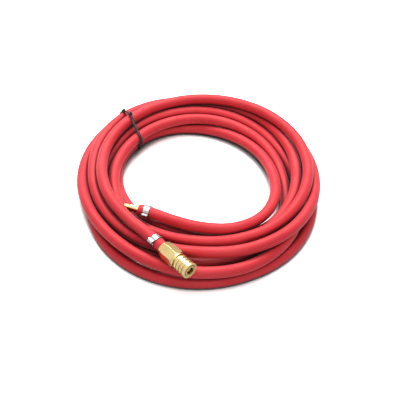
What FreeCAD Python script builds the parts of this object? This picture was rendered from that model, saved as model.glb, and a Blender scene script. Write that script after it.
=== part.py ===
import FreeCAD, Part
import math
import os

# A red rubber gas hose, loosely coiled in seven loops and held by one tie, with a
# brass quick coupler on one end and the matching plug on the other.
# Millimetres, +Z up, +X to the viewer's right, +Y away from the viewer.
# Origin: middle of the footprint on the surface that the coil lies on.

Vector = FreeCAD.Vector

# Hose. Its section is an even polygon, round again where the clamps grip it.
HOSE_OUTER = 11.0
HOSE_SIDES = 8
FLAT_DEPTH = HOSE_OUTER / 10.0
LEAST_GAP = 0.4
ARC_SAMPLES = 12

# Coil: each loop passes four stations, each the distance of the centre line from
# the coil's axis and its height, before the coil settles onto its flats. The
# loops run from the plug's end to the coupler's, anticlockwise from above.
FIRST_STATION_AZIMUTH = 270.0
STATION_STEP = 90.0
LOOPS = (
    # near, right, far and left of the coil's axis
    ((67.0, 19.5), (79.5, 15.0), (77.0, 10.5), (80.0, 6.0)),
    ((67.0, 6.0), (90.0, 7.0), (87.5, 17.0), (84.5, 17.0)),
    ((85.0, 7.5), (98.5, 24.0), (100.5, 21.5), (96.0, 15.0)),
    ((99.5, 20.5), (119.5, 26.0), (135.0, 9.5), (117.5, 21.0)),
    ((124.5, 19.0), (121.0, 13.0), (121.0, 8.5), (115.5, 7.0)),
    ((127.5, 5.5), (106.5, 6.5), (104.5, 9.0), (103.0, 5.5)),
    ((101.0, 8.0), (109.5, 19.5), (117.5, 22.0), (96.5, 30.0)),
)
LANE_SWING = 1.3

# Straight ends of the hose: place of the end face, the way its fitting points
# seen from above, its rise, and the straight length behind the face
PLUG_END = (221.8, 75.4, 22.0)
PLUG_HEADING = 162.5
PLUG_RISE = 1.0
PLUG_STRAIGHT = 15.0
COUPLER_END = (254.4, 109.5, 32.3)
COUPLER_HEADING = -49.0
COUPLER_RISE = 4.5
COUPLER_STRAIGHT = 31.0

# Barbed stems, alike on both fittings
BARB_RADIUS = 2.95
BARB_ROOT_RADIUS = 2.5
BARB_PITCH = 6.0
BARB_COUNT = 3
BARB_SIDES = 24
BARB_CREST_SHARE = 0.25
BARB_FIT = 0.05
STEM_BORE_RADIUS = 1.6
POCKET_EXTRA = 1.0

# Coupler, outside, from the hose's end face forward
REAR_HEXAGON_ACROSS = 13.5
REAR_HEXAGON_LENGTH = 3.5
BODY_HEXAGON_ACROSS = 15.0
BODY_HEXAGON_LENGTH = 14.6
HEXAGON_CHAMFER_ANGLE = 30.0
FLANGE_RADIUS = 7.5
FLANGE_LENGTH = 2.2
FLANGE_CHAMFER = 0.3
SPRING_STEP_RADIUS = 5.9
SPRING_STEP_LENGTH = 3.0
BARREL_RADIUS = 5.15
COUPLER_LENGTH = 36.8

# Coupler, inside, from the mouth back
MOUTH_DEPTH = 3.7
PLUG_FIT = 0.1
TIP_BORE_FIT = 0.15
SEAL_GROOVE_RADIUS = 4.4
SEAL_GROOVE_WIDTH = 1.7
SEAL_GROOVE_SETBACK = 4.6
THROAT_RADIUS = 2.4
THROAT_LENGTH = 2.0
THROAT_SETBACK = 8.4
CHAMBER_RADIUS = 3.9
SPIGOT_RADIUS = 4.4
SPIGOT_LENGTH = 6.0
SPIGOT_FIT = 0.05
SPIGOT_END_GAP = 0.2

# Locking balls and sleeve
BALL_RADIUS = 1.15
BALL_SIDES = 12
BALL_COUNT = 4
BALL_PLAY = 0.05
BALL_LIP = 0.15
BALL_RELEASE_GAP = 0.25
SLEEVE_TRAVEL = 2.6
SLEEVE_REST_GAP = 0.2
SLEEVE_FIT = 0.08
SLEEVE_RADIUS = 7.8
SLEEVE_GROOVE_RADIUS = 7.15
SLEEVE_RING_COUNT = 4
SLEEVE_RING_WIDTH = 2.0
SLEEVE_SPRING_ROOM_RADIUS = 6.15
SLEEVE_SPRING_ROOM_LENGTH = 4.65
SLEEVE_LAND_COVER = 0.3
SLEEVE_END_SETBACK = 0.4
SNAP_RING_RADIUS = 5.55
SNAP_RING_FIT = 0.05
SNAP_RING_WIDTH = 0.6
SNAP_RING_DEPTH = 0.45
SNAP_RING_GAP_ANGLE = 40.0
SNAP_RING_PLAY = 0.15

# Valve in the coupler
VALVE_TRAVEL = 2.4
VALVE_HEAD_RADIUS = 3.4
VALVE_HEAD_LENGTH = 1.4
VALVE_NECK_RADIUS = 2.3
VALVE_NECK_LEAD = 0.7
VALVE_LIP_RADIUS = 2.6
VALVE_LIP_LENGTH = 0.8
VALVE_NOSE_RADIUS = 1.9
VALVE_NOSE_CHAMFER = 0.5
VALVE_TAIL_RADIUS = 1.7
VALVE_TAIL_LENGTH = 2.0

# Sealing rings: half the height of each section, and how much smaller it is made
VALVE_SEAL_SECTION = 0.55
VALVE_SEAL_FIT = 0.02
PLUG_SEAL_FIT = 0.05
SEAL_SIDES = 6
SEAL_STEPS = 24

# Springs
SLEEVE_SPRING_WIRE = 0.6
SLEEVE_SPRING_TURNS = 3.0
VALVE_SPRING_WIRE = 0.6
VALVE_SPRING_TURNS = 4.0
VALVE_SPRING_RADIUS = 2.6
SPRING_SEAT_GAP = 0.05
SPRING_STEPS = 12

# Plug, outside, from the hose's end face forward
PLUG_COLLAR_RADIUS = 4.1
PLUG_COLLAR_LENGTH = 2.4
PLUG_BODY_RADIUS = 3.75
PLUG_TIP_RADIUS = 3.15
PLUG_TIP_RAMP = 0.4
PLUG_GROOVE_WIDTH = 1.7
PLUG_BODY_END = 9.3
PLUG_LENGTH = 15.0
PLUG_NOSE_CHAMFER = 1.0
PLUG_CHAMFER = 0.5

# Two-ear clamps
CLAMP_WIDTH = 5.8
CLAMP_THICKNESS = 0.8
CLAMP_SETBACK = 11.5
EAR_WIDTH = 4.4
EAR_HEIGHT = 2.6
EAR_CORNER = 0.9
EAR_SHOULDER = 1.6
EAR_NECK = 1.5
EAR_NECK_HEIGHT = 0.5
EAR_WALL = 0.7
EAR_EYE_HEIGHT = 0.7
EAR_EYE_WIDTH = 2.8
COUPLER_CLAMP_TURN = 140.0
PLUG_CLAMP_TURN = 15.0
PLUG_CLAMP_SETBACK = 8.8

# Tie round the bundle, in an upright plane that passes one point on the inner
# edge of the bundle and crosses it on one heading
TIE_INNER = (-59.6, 50.0)
TIE_HEADING = 119.0
TIE_WIDTH = 2.6
TIE_THICKNESS = 0.8
TIE_SLACK = 0.8
KNOT_RADIUS = 2.1
KNOT_LENGTH = 5.0
KNOT_SIDES = 12
KNOT_ROUNDING = 0.6
KNOT_GAP = 0.05
KNOT_REACH = 37.0

# Longer than the whole coil, and the overshoot of cutting tools
ENVELOPE = 400.0
OVERCUT = 1.0


def polar(azimuth, radius, height):
    angle = math.radians(azimuth)
    return Vector(radius * math.cos(angle), radius * math.sin(angle), height)


def direction(heading, rise):
    flat = math.cos(math.radians(rise))
    return Vector(
        flat * math.cos(math.radians(heading)),
        flat * math.sin(math.radians(heading)),
        math.sin(math.radians(rise)),
    )


# Centre line of the hose

def stations():
    """Azimuth, radius and height of the centre line, end face to end face."""
    rows = [PLUG_END]
    azimuth = FIRST_STATION_AZIMUTH
    for loop in LOOPS:
        for radius, height in loop:
            rows.append((azimuth, radius, height))
            azimuth += STATION_STEP
    azimuth, radius, height = COUPLER_END
    rows.append((azimuth + 360.0 * len(LOOPS), radius, height))
    return rows


def tangent_at(rows, index):
    """Direction of the centre line at a station, from the stations beside it."""
    azimuth, radius, height = rows[index]
    before = rows[index - 1]
    after = rows[index + 1]
    sweep = math.radians(after[0] - before[0])
    radial = LANE_SWING * (after[1] - before[1]) / sweep
    climb = LANE_SWING * (after[2] - before[2]) / sweep
    angle = math.radians(azimuth)
    outward = Vector(math.cos(angle), math.sin(angle), 0)
    around = Vector(-math.sin(angle), math.cos(angle), 0)
    tangent = outward * radial + around * radius + Vector(0, 0, climb)
    return tangent.normalize()


def route():
    """The two end faces, and the points and directions between the straights."""
    rows = stations()
    plug_way = direction(PLUG_HEADING, PLUG_RISE)
    coupler_way = direction(COUPLER_HEADING, COUPLER_RISE)
    plug_face = polar(*rows[0])
    coupler_face = polar(*rows[-1])
    nodes = [(plug_face - plug_way * PLUG_STRAIGHT, plug_way * -1.0)]
    for index in range(1, len(rows) - 1):
        nodes.append((polar(*rows[index]), tangent_at(rows, index)))
    nodes.append((coupler_face - coupler_way * COUPLER_STRAIGHT, coupler_way))
    settle = Vector(0, 0, -FLAT_DEPTH)
    nodes = [(point + settle, way) for point, way in nodes]
    return plug_face + settle, nodes, coupler_face + settle


def biarc(start, start_way, end, end_way):
    """Where two smoothly joined arcs meet, and the direction there."""
    chord = end - start
    ways = start_way + end_way
    spread = 2.0 * (1.0 - start_way.dot(end_way))
    if abs(spread) < 1e-9:
        reach = chord.dot(chord) / (4.0 * chord.dot(end_way))
    else:
        along = chord.dot(ways)
        root = math.sqrt(along * along + spread * chord.dot(chord))
        reach = (root - along) / spread
    first_corner = start + start_way * reach
    second_corner = end - end_way * reach
    joint = (first_corner + second_corner) * 0.5
    joint_way = (second_corner - first_corner).normalize()
    return joint, joint_way


def arc_from(start, way, end):
    """An arc that leaves start along way and ends at end, with its radius."""
    chord = end - start
    inward = chord - way * chord.dot(way)
    half_turn = math.atan2(inward.Length, chord.dot(way))
    radius = chord.Length / (2.0 * math.sin(half_turn))
    inward.normalize()
    along = way * (radius * math.sin(half_turn))
    aside = inward * (radius * (1.0 - math.cos(half_turn)))
    return Part.Arc(start, start + along + aside, end).toShape(), radius


def centre_line():
    """The edges of the centre line and the radii of its arcs."""
    plug_face, nodes, coupler_face = route()
    edges = [Part.LineSegment(plug_face, nodes[0][0]).toShape()]
    radii = []
    for (start, start_way), (end, end_way) in zip(nodes[:-1], nodes[1:]):
        joint, joint_way = biarc(start, start_way, end, end_way)
        first, first_radius = arc_from(start, start_way, joint)
        second, second_radius = arc_from(joint, joint_way, end)
        edges += [first, second]
        radii += [first_radius, second_radius]
    edges.append(Part.LineSegment(nodes[-1][0], coupler_face).toShape())
    return edges, radii


def samples(edges):
    """Points along the centre line, each with its distance from the start."""
    rows = []
    run = 0.0
    for edge in edges:
        for step in range(ARC_SAMPLES):
            part = step / ARC_SAMPLES
            spot = edge.FirstParameter + part * (edge.LastParameter - edge.FirstParameter)
            rows.append((edge.valueAt(spot), run + part * edge.Length))
        run += edge.Length
    return rows


def least_gap(edges):
    """Least distance between the surfaces of two neighbouring loops."""
    rows = samples(edges)
    skip = 5.0 * HOSE_OUTER
    least = 1e9
    for index, (point, run) in enumerate(rows):
        for other, other_run in rows[index + 1:]:
            if other_run - run < skip:
                continue
            if abs(point.x - other.x) > 2.0 * HOSE_OUTER:
                continue
            least = min(least, point.distanceToPoint(other))
    return least - HOSE_OUTER


# Places of the fittings

def frame_at(face, way):
    """Placement with +Z along way, +X level and +Y up from the axis."""
    level = way.cross(Vector(0, 0, 1)).normalize()
    upward = way.cross(level).normalize()
    matrix = FreeCAD.Matrix(
        level.x, upward.x, way.x, face.x,
        level.y, upward.y, way.y, face.y,
        level.z, upward.z, way.z, face.z,
        0, 0, 0, 1,
    )
    return FreeCAD.Placement(matrix)


def placed(shape, placement):
    moved = shape.copy()
    moved.Placement = placement.multiply(shape.Placement)
    return moved


# Building blocks on the local axis

def turned(profile):
    """Solid of revolution from (radius, along) corners."""
    points = [Vector(radius, 0, along) for radius, along in profile]
    face = Part.Face(Part.makePolygon(points + [points[0]]))
    return face.revolve(Vector(0, 0, 0), Vector(0, 0, 1), 360)


def skin(rings, closed):
    """Solid whose flat facets join each ring of points to the next."""
    faces = []
    pairs = list(zip(rings[:-1], rings[1:]))
    if closed:
        pairs.append((rings[-1], rings[0]))
    else:
        faces = [Part.Face(Part.makePolygon(ring + ring[:1])) for ring in (rings[0], rings[-1])]
    for first, second in pairs:
        for index in range(len(first)):
            a, b, c, d = first[index - 1], first[index], second[index], second[index - 1]
            for corners in ((a, b, c), (a, c, d)):
                if (corners[1] - corners[0]).cross(corners[2] - corners[0]).Length > 1e-6:
                    faces.append(Part.Face(Part.makePolygon(corners + corners[:1])))
    shell = Part.makeShell(faces)
    shell.sewShape()
    solid = Part.makeSolid(shell)
    if solid.Volume < 0:
        solid.reverse()
    return solid


def faceted(profile, sides):
    """Turned solid with flat sides, from (radius, along) corners."""
    rings = []
    for index in range(sides):
        azimuth = 360.0 * index / sides
        rings.append([polar(azimuth, radius, along) for radius, along in profile])
    return skin(rings, True)


def rod(radius, start, end):
    return Part.makeCylinder(radius, end - start, Vector(0, 0, start))


def hexagon_bar(across, start, end):
    """Hexagonal bar with a flat to the side and both rims chamfered."""
    corner = across / math.sqrt(3.0)
    points = []
    for index in range(6):
        angle = math.radians(30.0 + 60.0 * index)
        points.append(Vector(corner * math.cos(angle), corner * math.sin(angle), start))
    bar = Part.Face(Part.makePolygon(points + [points[0]])).extrude(Vector(0, 0, end - start))
    rim = across / 2.0
    slope = (corner - rim) * math.tan(math.radians(HEXAGON_CHAMFER_ANGLE))
    envelope = turned(((0, start), (rim, start), (corner, start + slope),
                       (corner, end - slope), (rim, end), (0, end)))
    return bar.common(envelope)


def coil_spring(radius, wire, turns, start, end):
    """Helical spring of square wire between two seats."""
    half = wire / 2.0
    count = round(turns * SPRING_STEPS)
    rings = []
    for index in range(count + 1):
        azimuth = 360.0 * index / SPRING_STEPS
        middle = start + half + (end - start - wire) * index / count
        corners = ((-half, -half), (half, -half), (half, half), (-half, half))
        rings.append([polar(azimuth, radius + across, middle + along) for across, along in corners])
    return skin(rings, False)


def ring_seal(section, radius, along):
    """Sealing ring with a six-sided section."""
    profile = []
    for index in range(SEAL_SIDES):
        angle = 2.0 * math.pi * (index + 0.5) / SEAL_SIDES
        profile.append((radius + section * math.cos(angle), along + section * math.sin(angle)))
    return faceted(profile, SEAL_STEPS)


def barbs():
    """Hollow barbed stem behind the end face, each barb sloping back into the hose."""
    profile = [(STEM_BORE_RADIUS, 0), (BARB_ROOT_RADIUS, 0)]
    for index in range(BARB_COUNT):
        crest = -BARB_PITCH * (index + BARB_CREST_SHARE)
        foot = -BARB_PITCH * (index + 1.0)
        profile += [(BARB_ROOT_RADIUS, crest), (BARB_RADIUS, crest), (BARB_ROOT_RADIUS, foot)]
    profile.append((STEM_BORE_RADIUS, -BARB_PITCH * BARB_COUNT))
    return faceted(profile, BARB_SIDES)


# Hose

def hose_section(start, way):
    level = way.cross(Vector(0, 0, 1)).normalize()
    upward = level.cross(way)
    points = []
    for index in range(HOSE_SIDES):
        angle = 2.0 * math.pi * (index + 0.5) / HOSE_SIDES
        across = level * (HOSE_OUTER / 2.0 * math.cos(angle))
        points.append(start + across + upward * (HOSE_OUTER / 2.0 * math.sin(angle)))
    return Part.makePolygon(points + [points[0]])


def hose(edges, plug_frame, coupler_frame):
    first = edges[0]
    section = hose_section(first.valueAt(first.FirstParameter), first.tangentAt(first.FirstParameter))
    tube = Part.Wire(edges).makePipeShell([section], True, False)
    length = sum(edge.Length for edge in edges)
    area = HOSE_SIDES / 2.0 * (HOSE_OUTER / 2.0) ** 2 * math.sin(2.0 * math.pi / HOSE_SIDES)
    print("hose length", round(length, 1), "volume over section times length",
          round(tube.Volume / (area * length), 5))
    pocket = BARB_PITCH * BARB_COUNT + POCKET_EXTRA
    for frame, straight in ((plug_frame, PLUG_STRAIGHT), (coupler_frame, COUPLER_STRAIGHT)):
        tube = tube.fuse(placed(rod(HOSE_OUTER / 2.0, -straight, 0), frame))
    for frame in (plug_frame, coupler_frame):
        tube = tube.cut(placed(rod(BARB_RADIUS + BARB_FIT, -pocket, OVERCUT), frame))
    return tube.cut(underground())


def underground():
    """Block under the surface that the coil lies on."""
    return Part.makeBox(ENVELOPE, ENVELOPE, HOSE_OUTER,
                        Vector(-ENVELOPE / 2.0, -ENVELOPE / 2.0, -HOSE_OUTER))


# Coupler

BODY_REAR = REAR_HEXAGON_LENGTH
HEXAGON_FRONT = BODY_REAR + BODY_HEXAGON_LENGTH
FLANGE_FRONT = HEXAGON_FRONT + FLANGE_LENGTH
STEP_FRONT = FLANGE_FRONT + SPRING_STEP_LENGTH
SHOULDER = COUPLER_LENGTH - MOUTH_DEPTH
BALL_PLANE = SHOULDER - BALL_RADIUS - BALL_PLAY
SEAL_CENTRE = SHOULDER - SEAL_GROOVE_SETBACK + SEAL_GROOVE_WIDTH / 2.0
THROAT_FRONT = SHOULDER - THROAT_SETBACK
THROAT_REAR = THROAT_FRONT - THROAT_LENGTH
SEAT_REAR = THROAT_REAR - (CHAMBER_RADIUS - THROAT_RADIUS)
SPIGOT_FRONT = BODY_REAR + SPIGOT_LENGTH
TIP_BORE_RADIUS = PLUG_TIP_RADIUS + TIP_BORE_FIT
MOUTH_RADIUS = PLUG_BODY_RADIUS + PLUG_FIT
SLEEVE_REAR = FLANGE_FRONT + SLEEVE_TRAVEL + SLEEVE_REST_GAP
SLEEVE_FRONT = COUPLER_LENGTH - SLEEVE_END_SETBACK
LAND_FRONT = BALL_PLANE + BALL_RADIUS + SLEEVE_LAND_COVER
LAND_REAR = STEP_FRONT + SLEEVE_SPRING_ROOM_LENGTH
SLEEVE_BORE_RADIUS = BARREL_RADIUS + SLEEVE_FIT
SLEEVE_RELEASE_RADIUS = PLUG_TIP_RADIUS + 2.0 * BALL_RADIUS + BALL_RELEASE_GAP
BALL_CENTRE_RADIUS = SLEEVE_BORE_RADIUS - BALL_PLAY - BALL_RADIUS
PLUG_GROOVE_RADIUS = BALL_CENTRE_RADIUS - BALL_RADIUS - BALL_PLAY
SNAP_RING_REAR = LAND_FRONT + SNAP_RING_PLAY
VALVE_NECK_FRONT = SEAT_REAR + VALVE_NECK_LEAD


def coupler_stem():
    """Barbed stem with the rear hexagon and the spigot screwed into the body."""
    collar = hexagon_bar(REAR_HEXAGON_ACROSS, 0, REAR_HEXAGON_LENGTH)
    spigot = rod(SPIGOT_RADIUS - SPIGOT_FIT, REAR_HEXAGON_LENGTH, SPIGOT_FRONT)
    bore = rod(STEM_BORE_RADIUS, -OVERCUT, SPIGOT_FRONT + OVERCUT)
    return collar.fuse(spigot).cut(bore).fuse(barbs()).removeSplitter()


def coupler_body():
    """Hexagon, flange and barrel, bored for spigot, valve, seal and plug."""
    blank = hexagon_bar(BODY_HEXAGON_ACROSS, BODY_REAR, HEXAGON_FRONT)
    barrel = turned((
        (0, HEXAGON_FRONT - OVERCUT), (BARREL_RADIUS, HEXAGON_FRONT - OVERCUT),
        (BARREL_RADIUS, HEXAGON_FRONT), (FLANGE_RADIUS - FLANGE_CHAMFER, HEXAGON_FRONT),
        (FLANGE_RADIUS, HEXAGON_FRONT + FLANGE_CHAMFER), (FLANGE_RADIUS, FLANGE_FRONT - FLANGE_CHAMFER),
        (FLANGE_RADIUS - FLANGE_CHAMFER, FLANGE_FRONT),
        (SPRING_STEP_RADIUS, FLANGE_FRONT), (SPRING_STEP_RADIUS, STEP_FRONT),
        (BARREL_RADIUS, STEP_FRONT), (BARREL_RADIUS, SNAP_RING_REAR),
        (BARREL_RADIUS - SNAP_RING_DEPTH, SNAP_RING_REAR),
        (BARREL_RADIUS - SNAP_RING_DEPTH, SNAP_RING_REAR + SNAP_RING_WIDTH),
        (BARREL_RADIUS, SNAP_RING_REAR + SNAP_RING_WIDTH), (BARREL_RADIUS, COUPLER_LENGTH),
        (0, COUPLER_LENGTH),
    ))
    cavity = turned((
        (0, BODY_REAR - OVERCUT), (SPIGOT_RADIUS, BODY_REAR - OVERCUT),
        (SPIGOT_RADIUS, SPIGOT_FRONT + SPIGOT_END_GAP),
        (CHAMBER_RADIUS, SPIGOT_FRONT + SPIGOT_END_GAP), (CHAMBER_RADIUS, SEAT_REAR),
        (THROAT_RADIUS, THROAT_REAR), (THROAT_RADIUS, THROAT_FRONT),
        (TIP_BORE_RADIUS, THROAT_FRONT), (TIP_BORE_RADIUS, SEAL_CENTRE - SEAL_GROOVE_WIDTH / 2.0),
        (SEAL_GROOVE_RADIUS, SEAL_CENTRE - SEAL_GROOVE_WIDTH / 2.0),
        (SEAL_GROOVE_RADIUS, SEAL_CENTRE + SEAL_GROOVE_WIDTH / 2.0),
        (TIP_BORE_RADIUS, SEAL_CENTRE + SEAL_GROOVE_WIDTH / 2.0), (TIP_BORE_RADIUS, SHOULDER),
        (MOUTH_RADIUS, SHOULDER), (MOUTH_RADIUS, COUPLER_LENGTH + OVERCUT), (0, COUPLER_LENGTH + OVERCUT),
    ))
    body = blank.fuse(barrel).cut(cavity)
    lip_radius = BALL_RADIUS - BALL_LIP
    lip_depth = math.sqrt(BALL_RADIUS ** 2 - lip_radius ** 2)
    for index in range(BALL_COUNT):
        pocket = Part.makeCylinder(BALL_RADIUS + BALL_PLAY, BARREL_RADIUS,
                                   Vector(0, 0, BALL_CENTRE_RADIUS - lip_depth))
        window = Part.makeCylinder(lip_radius, BARREL_RADIUS, Vector(0, 0, 0.5 * TIP_BORE_RADIUS))
        hole = pocket.fuse(window)
        hole.rotate(Vector(0, 0, 0), Vector(0, 1, 0), 90)
        hole.translate(Vector(0, 0, BALL_PLANE))
        hole.rotate(Vector(0, 0, 0), Vector(0, 0, 1), ball_angle(index))
        body = body.cut(hole)
    return body.removeSplitter()


def ball_angle(index):
    return 360.0 * index / BALL_COUNT


def locking_balls():
    """Steel balls in the barrel, held in by the sleeve."""
    profile = []
    for index in range(BALL_SIDES // 2 + 1):
        angle = 2.0 * math.pi * index / BALL_SIDES
        profile.append((BALL_RADIUS * math.sin(angle), -BALL_RADIUS * math.cos(angle)))
    balls = []
    for index in range(BALL_COUNT):
        angle = math.radians(ball_angle(index))
        across = BALL_CENTRE_RADIUS * math.cos(angle)
        aside = BALL_CENTRE_RADIUS * math.sin(angle)
        ball = faceted(profile, BALL_SIDES)
        ball.translate(Vector(across, aside, BALL_PLANE))
        balls.append(ball)
    return Part.makeCompound(balls)


def locking_sleeve():
    """Sleeve with grip rings, a land over the balls and a release recess."""
    pitch = (SLEEVE_FRONT - SLEEVE_REAR - SLEEVE_RING_WIDTH) / (SLEEVE_RING_COUNT - 1)
    outline = []
    for index in range(SLEEVE_RING_COUNT):
        start = SLEEVE_REAR + index * pitch
        end = start + SLEEVE_RING_WIDTH
        outline += [(SLEEVE_GROOVE_RADIUS, start), (SLEEVE_RADIUS, start),
                    (SLEEVE_RADIUS, end), (SLEEVE_GROOVE_RADIUS, end)]
    inside = [
        (SLEEVE_RELEASE_RADIUS, SLEEVE_FRONT), (SLEEVE_RELEASE_RADIUS, LAND_FRONT),
        (SLEEVE_BORE_RADIUS, LAND_FRONT), (SLEEVE_BORE_RADIUS, LAND_REAR),
        (SLEEVE_SPRING_ROOM_RADIUS, LAND_REAR), (SLEEVE_SPRING_ROOM_RADIUS, SLEEVE_REAR),
    ]
    return turned(outline[1:-1] + inside)


def sleeve_spring():
    radius = (BARREL_RADIUS + SLEEVE_SPRING_ROOM_RADIUS) / 2.0
    return coil_spring(radius, SLEEVE_SPRING_WIRE, SLEEVE_SPRING_TURNS,
                       STEP_FRONT + SPRING_SEAT_GAP, LAND_REAR - SPRING_SEAT_GAP)


def snap_ring():
    """Open ring in the barrel's groove, which stops the sleeve."""
    inner = BARREL_RADIUS - SNAP_RING_DEPTH + SNAP_RING_FIT
    rear = SNAP_RING_REAR - OVERCUT
    front = SNAP_RING_REAR + SNAP_RING_WIDTH
    ring = rod(SNAP_RING_RADIUS, SNAP_RING_REAR, front).cut(rod(inner, rear, front + OVERCUT))
    gap = Part.makeCylinder(SNAP_RING_RADIUS + OVERCUT, SNAP_RING_WIDTH + 2.0 * OVERCUT,
                            Vector(0, 0, rear), Vector(0, 0, 1), SNAP_RING_GAP_ANGLE)
    return ring.cut(gap)


def plug_seal():
    section = SEAL_GROOVE_WIDTH / 2.0 - PLUG_SEAL_FIT
    return ring_seal(section, SEAL_GROOVE_RADIUS - section, SEAL_CENTRE)


def coupler_valve():
    """Poppet: tail in the spring, head, seal neck and nose through the throat."""
    neck_rear = VALVE_NECK_FRONT - 2.0 * VALVE_SEAL_SECTION
    head_rear = neck_rear - VALVE_HEAD_LENGTH
    tail_rear = head_rear - VALVE_TAIL_LENGTH
    tip = SHOULDER - (PLUG_LENGTH - PLUG_BODY_END) + VALVE_TRAVEL
    return turned((
        (0, tail_rear), (VALVE_TAIL_RADIUS, tail_rear), (VALVE_TAIL_RADIUS, head_rear),
        (VALVE_HEAD_RADIUS, head_rear), (VALVE_HEAD_RADIUS, neck_rear),
        (VALVE_NECK_RADIUS, neck_rear), (VALVE_NECK_RADIUS, VALVE_NECK_FRONT),
        (VALVE_LIP_RADIUS, VALVE_NECK_FRONT), (VALVE_NOSE_RADIUS, VALVE_NECK_FRONT + VALVE_LIP_LENGTH),
        (VALVE_NOSE_RADIUS, tip - VALVE_NOSE_CHAMFER),
        (VALVE_NOSE_RADIUS - VALVE_NOSE_CHAMFER, tip), (0, tip),
    ))


def valve_seal():
    along = VALVE_NECK_FRONT - VALVE_SEAL_SECTION
    section = VALVE_SEAL_SECTION - VALVE_SEAL_FIT
    return ring_seal(section, VALVE_NECK_RADIUS + VALVE_SEAL_SECTION, along)


def valve_spring():
    head_rear = VALVE_NECK_FRONT - 2.0 * VALVE_SEAL_SECTION - VALVE_HEAD_LENGTH
    return coil_spring(VALVE_SPRING_RADIUS, VALVE_SPRING_WIRE, VALVE_SPRING_TURNS,
                       SPIGOT_FRONT + SPRING_SEAT_GAP, head_rear - SPRING_SEAT_GAP)


# Plug

def hose_plug():
    """Barbed plug with its collar, locking groove and chamfered tip."""
    groove_front = PLUG_BODY_END + PLUG_GROOVE_WIDTH
    outline = [
        (STEM_BORE_RADIUS, 0), (PLUG_COLLAR_RADIUS, 0),
        (PLUG_COLLAR_RADIUS, PLUG_COLLAR_LENGTH), (PLUG_BODY_RADIUS, PLUG_COLLAR_LENGTH),
        (PLUG_BODY_RADIUS, PLUG_BODY_END - PLUG_CHAMFER),
        (PLUG_BODY_RADIUS - PLUG_CHAMFER, PLUG_BODY_END),
        (PLUG_GROOVE_RADIUS, PLUG_BODY_END), (PLUG_GROOVE_RADIUS, groove_front),
        (PLUG_TIP_RADIUS, groove_front + PLUG_TIP_RAMP),
        (PLUG_TIP_RADIUS, PLUG_LENGTH - PLUG_NOSE_CHAMFER),
        (PLUG_TIP_RADIUS - PLUG_NOSE_CHAMFER, PLUG_LENGTH), (STEM_BORE_RADIUS, PLUG_LENGTH),
    ]
    return turned(outline).fuse(barbs())


# Clamps

def ear_outline(band_radius, turn):
    """Omega-shaped ear: a narrow neck that widens to a flat round loop."""
    top = band_radius + EAR_HEIGHT
    half = EAR_WIDTH / 2.0
    neck = EAR_NECK / 2.0
    foot = band_radius - CLAMP_THICKNESS / 2.0
    neck_top = band_radius + EAR_NECK_HEIGHT
    shoulder = top - EAR_SHOULDER
    side = [
        (foot, neck), (neck_top, neck), (shoulder, half), (top - EAR_CORNER, half),
        (top, half - EAR_CORNER),
    ]
    points = [Vector(x, -y, 0) for x, y in side] + [Vector(x, y, 0) for x, y in reversed(side)]
    face = Part.Face(Part.makePolygon(points + [points[0]]))
    face.rotate(Vector(0, 0, 0), Vector(0, 0, 1), turn)
    return face


def clamp(setback, turn):
    """Band pinched tight by two opposite ears."""
    inner = HOSE_OUTER / 2.0
    outer = inner + CLAMP_THICKNESS
    start = -setback - CLAMP_WIDTH / 2.0
    solid = rod(outer, 0, CLAMP_WIDTH)
    for side in (0.0, 180.0):
        solid = solid.fuse(ear_outline(outer, turn + side).extrude(Vector(0, 0, CLAMP_WIDTH)))
    solid = solid.cut(rod(inner, -OVERCUT, CLAMP_WIDTH + OVERCUT))
    eye_foot = outer + EAR_HEIGHT - EAR_WALL - EAR_EYE_HEIGHT
    for side in (0.0, 180.0):
        eye = Part.makeBox(EAR_EYE_HEIGHT, EAR_EYE_WIDTH, CLAMP_WIDTH + 2.0 * OVERCUT,
                           Vector(eye_foot, -EAR_EYE_WIDTH / 2.0, -OVERCUT))
        eye.rotate(Vector(0, 0, 0), Vector(0, 0, 1), turn + side)
        solid = solid.cut(eye)
    solid.translate(Vector(0, 0, start))
    return solid.removeSplitter()


# Tie

def strands_at_tie(edges):
    """Where the loops cross the plane of the tie: (distance along it, height)."""
    rows = samples(edges)
    origin = Vector(TIE_INNER[0], TIE_INNER[1], 0)
    outward = polar(TIE_HEADING, 1, 0)
    aside = polar(TIE_HEADING + 90.0, 1, 0)
    spots = []
    for (point, _), (after, _) in zip(rows[:-1], rows[1:]):
        first = (point - origin).dot(aside)
        second = (after - origin).dot(aside)
        if first <= 0 < second:
            spot = point + (after - point) * (-first / (second - first))
            along = (spot - origin).dot(outward)
            if along > -HOSE_OUTER:
                spots.append((along, spot.z))
    return spots


def hull(points):
    """Outline of the outermost points, anticlockwise."""
    ordered = sorted(points)

    def side(rows):
        chain = []
        for x, y in rows:
            while len(chain) > 1:
                ax, ay = chain[-2]
                bx, by = chain[-1]
                if (bx - ax) * (y - ay) - (by - ay) * (x - ax) > 0:
                    break
                chain.pop()
            chain.append((x, y))
        return chain[:-1]

    return side(ordered) + side(reversed(ordered))


def band_outline(points, reach):
    """Rounded outline that runs at one distance round the given points."""
    edges = []
    count = len(points)
    normals = []
    for index in range(count):
        ax, ay = points[index]
        bx, by = points[(index + 1) % count]
        size = math.hypot(bx - ax, by - ay)
        normals.append(((by - ay) / size, (ax - bx) / size))
    for index in range(count):
        ax, ay = points[index]
        bx, by = points[(index + 1) % count]
        nx, ny = normals[index]
        start = Vector(ax + nx * reach, 0, ay + ny * reach)
        end = Vector(bx + nx * reach, 0, by + ny * reach)
        edges.append(Part.LineSegment(start, end).toShape())
        mx, my = normals[(index + 1) % count]
        size = math.hypot(nx + mx, ny + my)
        middle = Vector(bx + (nx + mx) / size * reach, 0, by + (ny + my) / size * reach)
        after = Vector(bx + mx * reach, 0, by + my * reach)
        edges.append(Part.Arc(end, middle, after).toShape())
    return Part.Wire(edges)


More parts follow.
